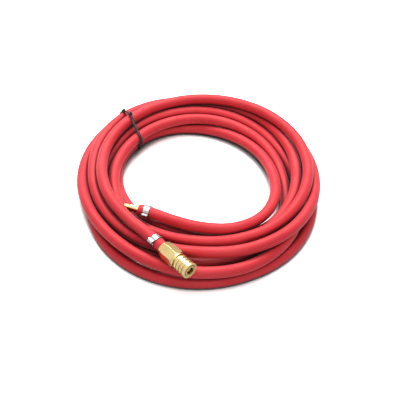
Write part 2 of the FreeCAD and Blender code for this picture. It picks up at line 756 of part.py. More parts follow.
def in_tie_plane(shape):
    """Turn and shift from the local upright plane into the plane of the tie."""
    shape.rotate(Vector(0, 0, 0), Vector(0, 0, 1), TIE_HEADING)
    shape.translate(Vector(TIE_INNER[0], TIE_INNER[1], 0))
    return shape


def tie_strap(edges):
    """Flat strap drawn round the whole bundle."""
    points = hull(strands_at_tie(edges))
    inside = HOSE_OUTER / 2.0 + TIE_SLACK
    outer = Part.Face(band_outline(points, inside + TIE_THICKNESS))
    strap = outer.cut(Part.Face(band_outline(points, inside)))
    strap = strap.extrude(Vector(0, TIE_WIDTH, 0))
    strap.translate(Vector(0, -TIE_WIDTH / 2.0, 0))
    return in_tie_plane(strap).cut(underground())


def tie_knot(edges):
    """Knot on the strap where it comes over the top of the bundle."""
    points = hull(strands_at_tie(edges))
    lift = HOSE_OUTER / 2.0 + TIE_SLACK + TIE_THICKNESS + KNOT_RADIUS + KNOT_GAP
    for (ax, ay), (bx, by) in zip(points, points[1:] + points[:1]):
        if bx <= KNOT_REACH < ax:
            size = math.hypot(bx - ax, by - ay)
            share = (ax - KNOT_REACH) / (ax - bx)
            along = KNOT_REACH + (by - ay) / size * lift
            height = ay + (by - ay) * share + (ax - bx) / size * lift
    end = KNOT_LENGTH / 2.0
    rounding = KNOT_RADIUS * KNOT_ROUNDING
    knot = faceted(((0, -end), (KNOT_RADIUS - rounding, -end), (KNOT_RADIUS, rounding - end),
                    (KNOT_RADIUS, end - rounding), (KNOT_RADIUS - rounding, end), (0, end)), KNOT_SIDES)
    knot.rotate(Vector(0, 0, 0), Vector(1, 0, 0), 90)
    knot.translate(Vector(along, 0, height))
    return in_tie_plane(knot)


def build():
    edges, radii = centre_line()
    print("radii of the arcs", [round(radius) for radius in radii])
    gap = least_gap(edges)
    print("least gap between loops", round(gap, 3), "wanted over", LEAST_GAP)
    plug_face, _, coupler_face = route()
    plug_frame = frame_at(plug_face, direction(PLUG_HEADING, PLUG_RISE))
    coupler_frame = frame_at(coupler_face, direction(COUPLER_HEADING, COUPLER_RISE))
    pieces = {
        "hose": hose(edges, plug_frame, coupler_frame),
        "coupler_stem": placed(coupler_stem(), coupler_frame),
        "coupler_body": placed(coupler_body(), coupler_frame),
        "locking_sleeve": placed(locking_sleeve(), coupler_frame),
        "locking_balls": placed(locking_balls(), coupler_frame),
        "sleeve_spring": placed(sleeve_spring(), coupler_frame),
        "snap_ring": placed(snap_ring(), coupler_frame),
        "plug_seal": placed(plug_seal(), coupler_frame),
        "coupler_valve": placed(coupler_valve(), coupler_frame),
        "valve_seal": placed(valve_seal(), coupler_frame),
        "valve_spring": placed(valve_spring(), coupler_frame),
        "hose_plug": placed(hose_plug(), plug_frame),
        "coupler_clamp": placed(clamp(CLAMP_SETBACK, COUPLER_CLAMP_TURN), coupler_frame),
        "plug_clamp": placed(clamp(PLUG_CLAMP_SETBACK, PLUG_CLAMP_TURN), plug_frame),
        "tie_strap": tie_strap(edges),
        "tie_knot": tie_knot(edges),
    }
    boxes = [shape.optimalBoundingBox(False, False) for shape in pieces.values()]
    left = min(box.XMin for box in boxes)
    right = max(box.XMax for box in boxes)
    near = min(box.YMin for box in boxes)
    far = max(box.YMax for box in boxes)
    top = max(box.ZMax for box in boxes)
    print("overall box", round(right - left, 2), round(far - near, 2), round(top, 2))
    shift = Vector(-(left + right) / 2.0, -(near + far) / 2.0, -min(box.ZMin for box in boxes))
    print("shift", [round(value, 4) for value in shift])
    os.makedirs("parts", exist_ok=True)
    for name, shape in pieces.items():
        shape = shape.copy()
        shape.translate(shift)
        shape.exportStep("parts/" + name + ".step")
        print(name, "solids", len(shape.Solids), "valid", shape.isValid(), "volume", round(shape.Volume, 2))


build()
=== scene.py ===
import math

import bpy
import numpy as np
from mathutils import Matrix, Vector


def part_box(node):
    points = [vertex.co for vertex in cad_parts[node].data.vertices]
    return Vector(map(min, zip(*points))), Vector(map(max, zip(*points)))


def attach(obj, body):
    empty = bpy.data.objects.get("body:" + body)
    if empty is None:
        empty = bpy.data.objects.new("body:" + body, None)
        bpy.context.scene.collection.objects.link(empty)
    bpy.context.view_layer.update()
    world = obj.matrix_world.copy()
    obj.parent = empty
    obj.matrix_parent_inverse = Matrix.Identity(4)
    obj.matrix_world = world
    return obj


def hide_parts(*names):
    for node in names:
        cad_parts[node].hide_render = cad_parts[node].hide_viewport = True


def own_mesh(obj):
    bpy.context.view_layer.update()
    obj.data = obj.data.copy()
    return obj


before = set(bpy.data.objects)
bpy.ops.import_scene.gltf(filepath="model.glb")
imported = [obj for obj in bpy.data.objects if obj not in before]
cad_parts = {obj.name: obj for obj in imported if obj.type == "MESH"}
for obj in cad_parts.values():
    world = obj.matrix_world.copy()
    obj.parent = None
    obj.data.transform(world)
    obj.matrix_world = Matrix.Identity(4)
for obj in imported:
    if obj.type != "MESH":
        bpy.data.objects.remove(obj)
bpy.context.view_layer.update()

# Red rubber gas hose in a loose coil, tied at one place, with a brass quick
# coupler and its plug. Metres, +Z up, +X to the right, +Y away from the viewer.

MM = 0.001
BODY = "hose_set"

# Shift of the coil's axis from the origin, as the footprint is centred
AXIS_X = -1.7651
AXIS_Y = -1.1533

# Hose
HOSE_RADIUS = 5.5
SETTLE = 1.1
CONTROL_STEP = 22.5

# Strands, eight stations to a turn anticlockwise from the plug's side: distance
# from the coil's axis at which each shows on the level READING_HEIGHT, and roughly
# how high it lies. A minus marks a place where other strands cover it.
FIRST_STATION = 225.0
STATION_STEP = 45.0
READING_HEIGHT = 15.0
SEEN = (
    ((71.0, 22), (65.5, 17), (83.5, 15), (78.0, 10),
     (72.5, 6), (73.0, 6), (82.0, 6), (-86.0, 6)),
    ((77.0, 6), (75.5, 6), (-91.0, 6), (101.0, 15),
     (110.5, 17), (111.5, 17), (104.5, 16), (-100.0, 10)),
    ((122.0, 6), (131.5, 6), (126.5, 6), (-114.0, 6),
     (-106.0, 6), (-119.0, 6), (122.5, 17), (105.5, 16)),
    ((99.0, 6), (96.0, 17), (111.5, 17), (118.5, 13),
     (-110.0, 6), (-118.0, 6), (-120.0, 6), (117.0, 15)),
    ((112.0, 17), (119.5, 17), (121.5, 15), (-98.0, 6),
     (98.0, 14), (102.0, 17), (100.0, 17), (-96.0, 6)),
    ((-104.0, 6), (108.0, 6), (-98.0, 6), (86.5, 6),
     (86.0, 8), (89.5, 17), (87.0, 17), (84.5, 17)),
    ((84.5, 17), (83.5, 17), (97.5, 20), (113.5, 23),
     (124.0, 26), (123.0, 27), (113.5, 28), (97.0, 28)),
    ((89.5, 30), (-139.5, 36)),
)
PLUG_SIDE = (65.1, 21.4)
COUPLER_SIDE = (91.6, 28.1)
STRAND_PITCH = 11.5
PLUG_END = (221.8, 75.4, 22.0)
PLUG_HEADING = 162.5
PLUG_RISE = 1.0
PLUG_POINTS = (0.0, 8.0, 16.0)
COUPLER_END = (254.4, 109.5, 32.3)
COUPLER_HEADING = -49.0
COUPLER_RISE = 4.5
COUPLER_POINTS = (0.0, 14.0, 28.0)
PATH_RESOLUTION = 14
HOSE_SIDES = 28
FLOOR_CLEAR = 0.02

# How the strands settle. Samples to a turn, and those at both ends that belong to
# the straights of the fittings; weight of a reading that other strands cover; pulls
# against a bend and against its change; push of the floor; room round the fittings,
# spots along each and the sector beside a spot; then the stages, each with the push
# of touching strands and the pull towards the read heights.
SAMPLES_PER_TURN = 32
PLUG_SAMPLES = 5
COUPLER_SAMPLES = 8
COVERED_WEIGHT = 0.15
RADIUS_BEND = 0.18
HEIGHT_BEND = 0.25
BEND_CHANGE = 0.12
FLOOR_PUSH = 3.0
FITTING_ROOM = 0.3
FITTING_SPOTS = 8
FITTING_SECTOR = 5.7
STAGES = ((1.5, 0.15), (3.0, 0.1), (6.0, 0.06))
ROUNDS = 10
FIRST_DAMPING = 0.3
LESS_DAMPING = 0.4
MORE_DAMPING = 4.0
NUDGE = 0.01
LEAST_GAIN = 0.001
VIEW_LEAN = 0.9

# Ends of the hose: round of the rims, pinch under a clamp, swell beside it and how
# far that reaches, and the extra rings of the tube there
RIM_ROUND = 0.8
PINCH = 0.2
PINCH_EDGE = 0.2
SWELL = 0.22
SWELL_REACH = 3.0
RIM_RINGS = (0.0, 0.1, 0.3, 0.8, 2.0, 3.0, 4.0, 5.0)
CLAMP_RINGS = (0.1, 0.25, 1.0, 1.6, 2.2, 3.0)
END_ZONE = 18.0

# Clamps: distance of the middle behind the hose's end face, and half the width
PLUG_CLAMP_SETBACK = 8.8
COUPLER_CLAMP_SETBACK = 11.5
CLAMP_HALF = 2.9

# Tie
TIE_INNER = (-59.6, 50.0)
TIE_HEADING = 119.0
TIE_GAP = 0.45
TIE_HALF_WIDTH = 1.5
TIE_HALF_THICKNESS = 0.75
TIE_TWISTS = 11.0
TIE_SWING = 0.5
TIE_STEP = 0.8
TIE_SIDES = 12
TIE_SQUARENESS = 0.7
HULL_PARTS = 40

# Shift of the tie out of its upright plane over the top, its place and its spread
SHIFT = -2.6
SHIFT_PLACE = 36.0
SHIFT_SPREAD = 12.0

# Knots: size and half the strand, and how far the middle stands off the strap
KNOT_STEPS = 36
KNOT_RISE = 0.55
OUTER_KNOT = (1.7, 0.75)
UPPER_KNOT = (1.9, 0.85)
UPPER_STAND = 0.8
LOWER_KNOT = (1.6, 0.8)
LOWER_STAND = 0.7
INNER_HEIGHT = 0.75

# Tail of the tie
TAIL_STEPS = 10
TAIL_STAND = 1.2
TAIL_REACH = 4.6
TAIL_DROP = 6.2
TAIL_CURVE = 1.3
TAIL_LEAN = (0.5, 0.8)
TAIL_HALF_WIDTH = 0.95
TAIL_HALF_THICKNESS = 0.5
TAIL_TURN = 1.1

# Springs: piece, node, turns, wire, travel and joint; then steps to a turn, sides of
# the wire and the share of the wire's size that they take
SPRINGS = (
    ("sleeve_coil", "sleeve_spring", 3.0, 0.6, 2.6, "sleeve_slide"),
    ("valve_coil", "valve_spring", 4.0, 0.6, 2.4, "valve_slide"),
)
SPRING_STEPS = 24
WIRE_SIDES = 8
WIRE_FIT = 0.96

# Rubber: print of the cloth, tones, painted shade between strands, roughness and sheen.
# Sizes and reaches of all finishes are in metres, and a pair is a place and its value.
WEAVE_PITCH = 0.0009
WEAVE_DEPTH = 0.25
GRAIN_DEPTH = 0.6
RUBBER_RELIEF = (0.00012, 0.5)
RUBBER_GRAIN = (900.0, 4.0)
RUBBER_PATCHES = (26.0, 4.0, 0.6)
RUBBER_POLISH = 60.0
RUBBER_TONES = (
    (0.3, (0.66, 0.030, 0.040)),
    (0.5, (0.72, 0.038, 0.050)),
    (0.72, (0.76, 0.050, 0.062)),
)
# Painted shade: the rubber's colour darkens in the gaps between strands, within this reach
RUBBER_PAINTED_SHADE_REACH = 0.02
RUBBER_PAINTED_SHADE = ((0.10, 0.05), (0.34, 0.40), (0.66, 1.0))
RUBBER_ROUGHNESS = (0.38, 0.48)
RUBBER_SPECULAR = 0.22
SHEEN_WEIGHT = 0.3
SHEEN_ROUGHNESS = 0.4
SHEEN_TINT = (1.0, 0.62, 0.7, 1.0)

# Metals: turning marks, softened edges, painted shade in recesses, tones and roughness
TURNING_PITCH = 0.00045
TURNING_DEPTH = 0.5
EDGE_RADIUS = 0.00035
EDGE_SAMPLES = 6
METAL_RELIEF = (0.00001, 0.3)
METAL_GRAIN = (900.0, 2.0)
METAL_PATCHES = 90.0
METAL_POLISH = 240.0
# Painted shade: the metal's colour darkens in recesses within this reach
METAL_PAINTED_SHADE_REACH = 0.003
METAL_PAINTED_SHADE = ((0.25, 0.22), (0.6, 0.8), (0.85, 1.0))
BRASS_TONES = ((0.74, 0.55, 0.23), (0.84, 0.66, 0.31))
BRASS_ROUGHNESS = (0.10, 0.18)
ZINC_TONES = ((0.50, 0.51, 0.52), (0.60, 0.61, 0.62))
ZINC_ROUGHNESS = (0.14, 0.22)
STEEL_TONES = ((0.50, 0.50, 0.52), (0.66, 0.66, 0.68))
STEEL_ROUGHNESS = (0.2, 0.35)

# Black pieces
SEAL_TONES = ((0.012, 0.012, 0.013), (0.025, 0.025, 0.026))
TIE_TONES = ((0.006, 0.006, 0.007), (0.014, 0.013, 0.015))
BLACK_ROUGHNESS = 0.5
BLACK_RELIEF = (0.00005, 0.5)
BLACK_GRAIN = 1800.0
BLACK_PATCHES = (300.0, 4.0)

# Where the two tones or roughnesses of a finish lie on its pattern
PATTERN_LOW = 0.3
PATTERN_HIGH = 0.7
# Samples for the painted shade in gaps and recesses
PAINTED_SHADE_SAMPLES = 12

# Stage: shade of the floor to the lamps and what the camera and the mirrored view
# add to it, its painted shade under and between the strands, and the light and seen level of the
# world
FLOOR_HALF = 6.0
FLOOR_SHADE = 0.7
FLOOR_SEEN = 1.5
FLOOR_MIRRORED = 0.15
# Painted shade: the floor darkens under and between the strands within this reach
FLOOR_PAINTED_SHADE_REACH = 0.016
FLOOR_PAINTED_SHADE = ((0.08, 0.0), (0.40, 0.12), (0.68, 1.0))
WORLD_LIGHT = 0.22
WORLD_SEEN = 0.78

# Lamps, all turned to the origin: name, place, size and power
LAMP_TARGET = (0.0, 0.0, 0.0)
LAMPS = (
    ("key", (-0.05, 0.58, 0.74), (0.9, 0.4), 10.8),
    ("top", (0.0, 0.0, 1.1), (0.9, 0.9), 3.8),
    ("fill", (0.1, -0.75, 0.75), (0.8, 0.5), 2.2),
)


def polar(azimuth, radius, height):
    angle = math.radians(azimuth)
    return Vector((radius * math.cos(angle), radius * math.sin(angle), height))


def direction(heading, rise):
    flat = math.cos(math.radians(rise))
    angle = math.radians(heading)
    return Vector((flat * math.cos(angle), flat * math.sin(angle),
                   math.sin(math.radians(rise))))


def row(point):
    """From the coil's own millimetres to the row frame in metres."""
    return Vector((point[0] + AXIS_X, point[1] + AXIS_Y, point[2])) * MM


PLUG_WAY = direction(PLUG_HEADING, PLUG_RISE)
PLUG_FACE = polar(*PLUG_END) - Vector((0, 0, SETTLE))
COUPLER_WAY = direction(COUPLER_HEADING, COUPLER_RISE)
COUPLER_FACE = polar(*COUPLER_END) - Vector((0, 0, SETTLE))

# Camera, in the coil's millimetres before it settles
CAMERA_TARGET = (3.0, -27.0, 10.0)
CAMERA_RISE = 48.0
CAMERA_DISTANCE = 700.0
CAMERA_LENS = 63.0
CAMERA_SENSOR = 36.0
CAMERA_CLIP = 0.01

# Straight ends and fittings that the strands keep clear of: name, end face,
# heading, start and end along it, and radius
SOLIDS = (
    ("plug", PLUG_FACE, PLUG_WAY, -16.0, 0.0, 5.5),
    ("plug", PLUG_FACE, PLUG_WAY, 0.0, 15.0, 4.2),
    ("plug", PLUG_FACE, PLUG_WAY, -11.7, -5.9, 7.0),
    ("coupler", COUPLER_FACE, COUPLER_WAY, -34.0, 0.0, 5.5),
    ("coupler", COUPLER_FACE, COUPLER_WAY, 0.0, 36.0, 7.9),
    ("coupler", COUPLER_FACE, COUPLER_WAY, -14.4, -8.6, 7.6),
)


# Route of the hose

def through_stations(values, places):
    """Value at any place, counted in stations, through the four stations round it."""
    index = np.clip(np.floor(places).astype(int), 1, len(values) - 3)
    t = places - index
    a, b, c, d = (values[index + k] for k in (-1, 0, 1, 2))
    return (-t * (t - 1) * (t - 2) * a / 6 + (t + 1) * (t - 1) * (t - 2) * b / 2
            - (t + 1) * t * (t - 2) * c / 2 + (t + 1) * t * (t - 1) * d / 6)


def as_seen(azimuth, radius, height):
    """Where the camera sees a point on the reading level: radius and added azimuth."""
    rise = math.radians(CAMERA_RISE)
    eye_x = CAMERA_TARGET[0]
    eye_y = CAMERA_TARGET[1] - CAMERA_DISTANCE * math.cos(rise)
    eye_z = CAMERA_TARGET[2] + CAMERA_DISTANCE * math.sin(rise)
    share = (READING_HEIGHT - eye_z) / (height - eye_z)
    x = eye_x + (radius * np.cos(azimuth) - eye_x) * share
    y = eye_y + (radius * np.sin(azimuth) - eye_y) * share
    turned = np.arctan2(y, x) - azimuth
    return np.hypot(x, y), np.arctan2(np.sin(turned), np.cos(turned))


def solid_spots():
    """Azimuth, radius, height and size of spots along the straight ends and fittings."""
    spots = []
    for name, face, way, start, end, size in SOLIDS:
        for step in range(FITTING_SPOTS + 1):
            spot = face + way * (start + (end - start) * step / FITTING_SPOTS)
            azimuth = math.degrees(math.atan2(spot[1], spot[0]))
            radius = math.hypot(spot[0], spot[1])
            spots.append((azimuth, radius, spot[2] + SETTLE, size, name))
    return spots


def settled_strands():
    """Radius and height of each control point: near the readings, on the floor or
    on each other, bent gently, and clear of each other and of the fittings."""
    rows = [pair for loop in SEEN for pair in loop]
    read = np.array([abs(radius) for radius, _ in rows], float)
    layer = np.array([height for _, height in rows], float)
    in_view = np.array([radius > 0 for radius, _ in rows], float)
    count = 2 * (len(rows) - 2)
    places = (np.arange(count) + 1) / 2.0
    samples = np.arange(2 * count - 1) / 4.0 + 0.5
    azimuth = np.radians(FIRST_STATION + STATION_STEP * samples)
    whole = np.floor(samples).astype(int)
    shown = np.minimum(in_view[whole], in_view[whole + 1]) > 0
    weight = np.where(shown, 1.0, COVERED_WEIGHT)
    heights = through_stations(layer, samples)
    pairs = [(i, j) for i in range(len(samples))
             for j in range(i + SAMPLES_PER_TURN, len(samples), SAMPLES_PER_TURN)]
    first = np.array([i for i, _ in pairs])
    second = np.array([j for _, j in pairs])
    near = [(k, spot) for spot in solid_spots() for k in range(len(samples) - COUPLER_SAMPLES)
            if abs((math.degrees(azimuth[k]) - spot[0] + 180.0) % 360.0 - 180.0) < FITTING_SECTOR
            and not (k < PLUG_SAMPLES and spot[4] == "plug")]
    beside = np.array([k for k, _ in near])
    stops = np.array([spot[1:4] for _, spot in near])

    def fine(values):
        """The smooth line that such control values give, at and between them."""
        line = values.copy()
        line[1:-1] = (values[:-2] + 6.0 * values[1:-1] + values[2:]) / 8.0
        out = np.empty(2 * count - 1)
        out[0::2] = line
        out[1::2] = (values[:-1] + values[1:]) / 2.0
        return out

    def faults(state, push, lift):
        """How far each wish is from being met, for one push and one pull of heights."""
        radius, height = state[:count], state[count:]
        r, z = fine(radius), fine(height)
        seen, turned = as_seen(azimuth, r, z)
        wanted = through_stations(read, samples + turned / math.radians(STATION_STEP))
        apart = np.hypot(r[first] - r[second], z[first] - z[second])
        clear = np.hypot(r[beside] - stops[:, 0], z[beside] - stops[:, 1])
        ends = np.array([radius[0] - PLUG_SIDE[0], height[0] - PLUG_SIDE[1],
                         radius[-1] - COUPLER_SIDE[0], height[-1] - COUPLER_SIDE[1]])
        return np.concatenate([
            weight * (seen - wanted), lift * (z - heights),
            RADIUS_BEND * np.diff(radius, 2), HEIGHT_BEND * np.diff(height, 2),
            BEND_CHANGE * np.diff(radius, 3), BEND_CHANGE * np.diff(height, 3),
            push * np.maximum(0.0, STRAND_PITCH - apart),
            push * np.maximum(0.0, HOSE_RADIUS + FITTING_ROOM + stops[:, 2] - clear),
            FLOOR_PUSH * np.maximum(0.0, HOSE_RADIUS - z), ends])

    state = np.concatenate([through_stations(read, places), through_stations(layer, places)])
    state[:count] -= VIEW_LEAN * (state[count:] - READING_HEIGHT) * np.sin(
        np.radians(FIRST_STATION + STATION_STEP * places))
    for push, lift in STAGES:
        damping = FIRST_DAMPING
        here = faults(state, push, lift)
        for _ in range(ROUNDS):
            slope = np.empty((len(here), len(state)))
            for column in range(len(state)):
                moved = state.copy()
                moved[column] += NUDGE
                slope[:, column] = (faults(moved, push, lift) - here) / NUDGE
            held = slope.T @ slope + damping * np.eye(len(state))
            step = np.linalg.solve(held, slope.T @ here)
            tried = faults(state - step, push, lift)
            if tried @ tried < here @ here:
                gain = here @ here - tried @ tried
                state, here, damping = state - step, tried, damping * LESS_DAMPING
                if gain < LEAST_GAIN * (here @ here):
                    break
            else:
                damping *= MORE_DAMPING
    state = np.round(state, 2)
    return zip(state[:count], state[count:])


def control_points():
    """Control points of the whole hose, 16 to a turn, plug end first."""
    points = [PLUG_FACE - PLUG_WAY * back for back in PLUG_POINTS]
    swell = 1.0 / math.cos(math.radians(CONTROL_STEP / 2.0))
    for index, (radius, height) in enumerate(settled_strands()):
        azimuth = FIRST_STATION + CONTROL_STEP * (index + 1)
        points.append(polar(azimuth, float(radius) * swell, float(height) - SETTLE))
    points += [COUPLER_FACE - COUPLER_WAY * back for back in reversed(COUPLER_POINTS)]
    return points


def spline_points(points):
    """Points read from one smooth NURBS spline with these control points."""
    data = bpy.data.curves.new("hose_route", "CURVE")
    data.dimensions = "3D"
    data.resolution_u = PATH_RESOLUTION
    spline = data.splines.new("NURBS")
    spline.points.add(len(points) - 1)
    for target, point in zip(spline.points, points):
        target.co = (*row(point), 1.0)
    spline.order_u = 3
    spline.use_endpoint_u = True
    holder = bpy.data.objects.new("hose_route", data)
    mesh = bpy.data.meshes.new_from_object(holder)
    path = [vertex.co.copy() for vertex in mesh.vertices]
    bpy.data.meshes.remove(mesh)
    bpy.data.objects.remove(holder)
    bpy.data.curves.remove(data)
    return path


# Meshes

def add_object(name, verts, faces, uvs=None, smooth=True):
    mesh = bpy.data.meshes.new(name)
    mesh.from_pydata([tuple(v) for v in verts], [], faces)
    mesh.update()
    if uvs is not None:
        layer = mesh.uv_layers.new(name="UVMap")
        for loop, uv in zip(layer.data, uvs):
            loop.uv = uv
    for polygon in mesh.polygons:
        polygon.use_smooth = smooth
    obj = bpy.data.objects.new(name, mesh)
    bpy.context.scene.collection.objects.link(obj)
    return obj


def hose_radius(run, total):
    """Radius along the hose: rounded rims, and pinched under the clamps."""
    radius = HOSE_RADIUS
    for distance, setback in ((run, PLUG_CLAMP_SETBACK), (total - run, COUPLER_CLAMP_SETBACK)):
        away = abs(distance - setback)
        if away < CLAMP_HALF + PINCH_EDGE:
            radius -= PINCH
        elif away < CLAMP_HALF + SWELL_REACH:
            share = (away - CLAMP_HALF - PINCH_EDGE) / (SWELL_REACH - PINCH_EDGE)
            radius += SWELL * math.sin(math.pi * share)
        if distance < RIM_ROUND:
            left = RIM_ROUND ** 2 - (RIM_ROUND - distance) ** 2
            radius -= RIM_ROUND - math.sqrt(max(left, 0.0))
    return radius


def refine(path, total):
    """Extra points near both ends, where the rims and clamps shape the hose."""
    stops = list(RIM_RINGS)
    for setback in (PLUG_CLAMP_SETBACK, COUPLER_CLAMP_SETBACK):
        for side in (-1.0, 1.0):
            for extra in CLAMP_RINGS:
                stops.append(setback + side * (CLAMP_HALF + extra))
    runs = [0.0]
    for before, after in zip(path, path[1:]):
        runs.append(runs[-1] + (after - before).length / MM)
    wanted = {round(stop, 3) for stop in stops}
    wanted |= {round(total - stop, 3) for stop in stops}
    wanted |= {round(run, 3) for run in runs if END_ZONE < run < total - END_ZONE}
    points = []
    index = 0
    for run in sorted(wanted):
        run = min(max(run, 0.0), runs[-1])
        while index < len(runs) - 2 and runs[index + 1] < run:
            index += 1
        share = (run - runs[index]) / (runs[index + 1] - runs[index])
        points.append((path[index].lerp(path[index + 1], share), run))
    return points


def hose_tube(path):
    """Round tube with capped ends along the path, and the points that it follows."""
    total = sum((b - a).length for a, b in zip(path, path[1:])) / MM
    rings = refine(path, total)
    count = len(rings)
    verts = []
    up = Vector((0, 0, 1))
    side = None
    for index, (point, run) in enumerate(rings):
        before = rings[max(index - 1, 0)][0]
        after = rings[min(index + 1, count - 1)][0]
        way = (after - before).normalized()
        if side is None:
            side = way.cross(up).normalized()
        side = (side - way * side.dot(way)).normalized()
        top = side.cross(way).normalized()
        radius = hose_radius(run, total) * MM
        for step in range(HOSE_SIDES):
            angle = 2.0 * math.pi * step / HOSE_SIDES
            spot = point + (side * math.cos(angle) + top * math.sin(angle)) * radius
            spot.z = max(spot.z, FLOOR_CLEAR * MM)
            verts.append(spot)
    faces = []
    uvs = []
    girth = 2.0 * math.pi * HOSE_RADIUS
    for index in range(count - 1):
        low, high = rings[index][1] * MM, rings[index + 1][1] * MM
        for step in range(HOSE_SIDES):
            after = (step + 1) % HOSE_SIDES
            a = index * HOSE_SIDES
            faces.append((a + step, a + after, a + HOSE_SIDES + after, a + HOSE_SIDES + step))
            u0 = girth * step / HOSE_SIDES * MM
            u1 = girth * (step + 1) / HOSE_SIDES * MM
            uvs += [(u0, low), (u1, low), (u1, high), (u0, high)]
    last = (count - 1) * HOSE_SIDES
    for ring in (reversed(range(HOSE_SIDES)), range(last, last + HOSE_SIDES)):
        faces.append(tuple(ring))
        uvs += [(0.0, 0.0)] * HOSE_SIDES
    obj = add_object("red_hose", verts, faces, uvs)
    return obj, [point for point, _ in rings]


# Tie

def hull(points):
    """Corners of the outline round flat points, anticlockwise."""
    ordered = sorted(points)

    def side(rows):
        chain = []
        for x, y in rows:
            while len(chain) > 1:
                ax, ay = chain[-2]
                bx, by = chain[-1]
                if (bx - ax) * (y - ay) - (by - ay) * (x - ax) > 0:
                    break
                chain.pop()
            chain.append((x, y))
        return chain[:-1]

    return side(ordered) + side(list(reversed(ordered)))


def tie_frame():
    """Inner foot of the tie's upright plane, the way out in it, and across it."""
    origin = Vector((TIE_INNER[0], TIE_INNER[1], 0))
    return origin, polar(TIE_HEADING, 1, 0), polar(TIE_HEADING + 90.0, 1, 0)


def strands_at_tie(path):
    """Where the loops cross the plane of the tie, in the coil's millimetres."""
    origin, outward, aside = tie_frame()
    rows = [Vector((p.x / MM - AXIS_X, p.y / MM - AXIS_Y, p.z / MM)) for p in path]
    spots = []
    for before, after in zip(rows, rows[1:]):
        first = (before - origin).dot(aside)
        second = (after - origin).dot(aside)
        if first <= 0 < second:
            spot = before.lerp(after, -first / (second - first))
            along = (spot - origin).dot(outward)
            if along > -2.0 * HOSE_RADIUS:
                spots.append((along, spot.z))
    return spots


def round_the_bundle(points, reach, step):
    """Evenly spaced points and outward normals at one distance round the hull."""
    count = len(points)
    normals = []
    for index in range(count):
        ax, ay = points[index]
        bx, by = points[(index + 1) % count]
        size = math.hypot(bx - ax, by - ay)
        normals.append(((by - ay) / size, (ax - bx) / size))
    dense = []
    for index in range(count):
        ax, ay = points[index]
        bx, by = points[(index + 1) % count]
        nx, ny = normals[index]
        mx, my = normals[(index + 1) % count]
        for part in range(HULL_PARTS):
            share = part / HULL_PARTS
            dense.append((ax + (bx - ax) * share + nx * reach,
                          ay + (by - ay) * share + ny * reach, nx, ny))
        turn = math.atan2(nx * my - ny * mx, nx * mx + ny * my)
        for part in range(HULL_PARTS):
            angle = turn * part / HULL_PARTS
            ox = nx * math.cos(angle) - ny * math.sin(angle)
            oy = nx * math.sin(angle) + ny * math.cos(angle)
            dense.append((bx + ox * reach, by + oy * reach, ox, oy))
    runs = [0.0]
    for here, after in zip(dense, dense[1:] + dense[:1]):
        runs.append(runs[-1] + math.hypot(after[0] - here[0], after[1] - here[1]))
    total = runs[-1]
    number = int(total / step)
    result = []
    index = 0
    for part in range(number):
        run = total * part / number
        while runs[index + 1] < run:
            index += 1
        span = runs[index + 1] - runs[index]
        share = (run - runs[index]) / span if span > 0 else 0.0
        a = dense[index]
        b = dense[(index + 1) % len(dense)]
        mixed = [a[k] + (b[k] - a[k]) * share for k in range(4)]
        size = math.hypot(mixed[2], mixed[3])
        result.append((mixed[0], mixed[1], mixed[2] / size, mixed[3] / size))
    return result


def sweep(name, spine, half_width, half_thickness, closed, twist):
    """Rounded flat band along a spine of (point, width direction, normal)."""
    sides = TIE_SIDES
    verts = []
    count = len(spine)
    for index, (point, wide, normal) in enumerate(spine):
        turn = twist(index / count)
        across = wide * math.cos(turn) + normal * math.sin(turn)
        out = normal * math.cos(turn) - wide * math.sin(turn)
        for step in range(sides):
            angle = 2.0 * math.pi * step / sides
            c = math.cos(angle)
            s = math.sin(angle)
            c = math.copysign(abs(c) ** TIE_SQUARENESS, c) * half_width
            s = math.copysign(abs(s) ** TIE_SQUARENESS, s) * half_thickness
            spot = point + across * c + out * s
            verts.append(row((spot.x, spot.y, max(spot.z, FLOOR_CLEAR))))
    faces = []
    last = count if closed else count - 1
    for index in range(last):
        a = index * sides
        b = (index + 1) % count * sides
        for step in range(sides):
            after = (step + 1) % sides
            faces.append((a + step, b + step, b + after, a + after))
    if not closed:
        faces.append(tuple(range(sides)))
        faces.append(tuple(reversed(range((count - 1) * sides, count * sides))))
    return add_object(name, verts, faces)


def side_shift(along):
    """How far the tie leaves its upright plane over the top of the bundle."""
    return SHIFT * math.exp(-((along - SHIFT_PLACE) / SHIFT_SPREAD) ** 2)


def knot(name, centre, out, size, strand):
    """Small tight knot: a three-lobed loop of cord, flat side against the hose."""
    across = out.orthogonal().normalized()
    along = out.cross(across)
    spine = []
    for step in range(KNOT_STEPS):
        turn = 2.0 * math.pi * step / KNOT_STEPS
        x = (math.sin(turn) + 2.0 * math.sin(2.0 * turn)) / 3.0
        y = (math.cos(turn) - 2.0 * math.cos(2.0 * turn)) / 3.0
        rise = -KNOT_RISE * math.sin(3.0 * turn)
        lobe = across * x + along * y
        spine.append((centre + (lobe + out * rise) * size, out, lobe.normalized()))
    return sweep(name, spine, strand, strand, True, lambda share: 0.0)


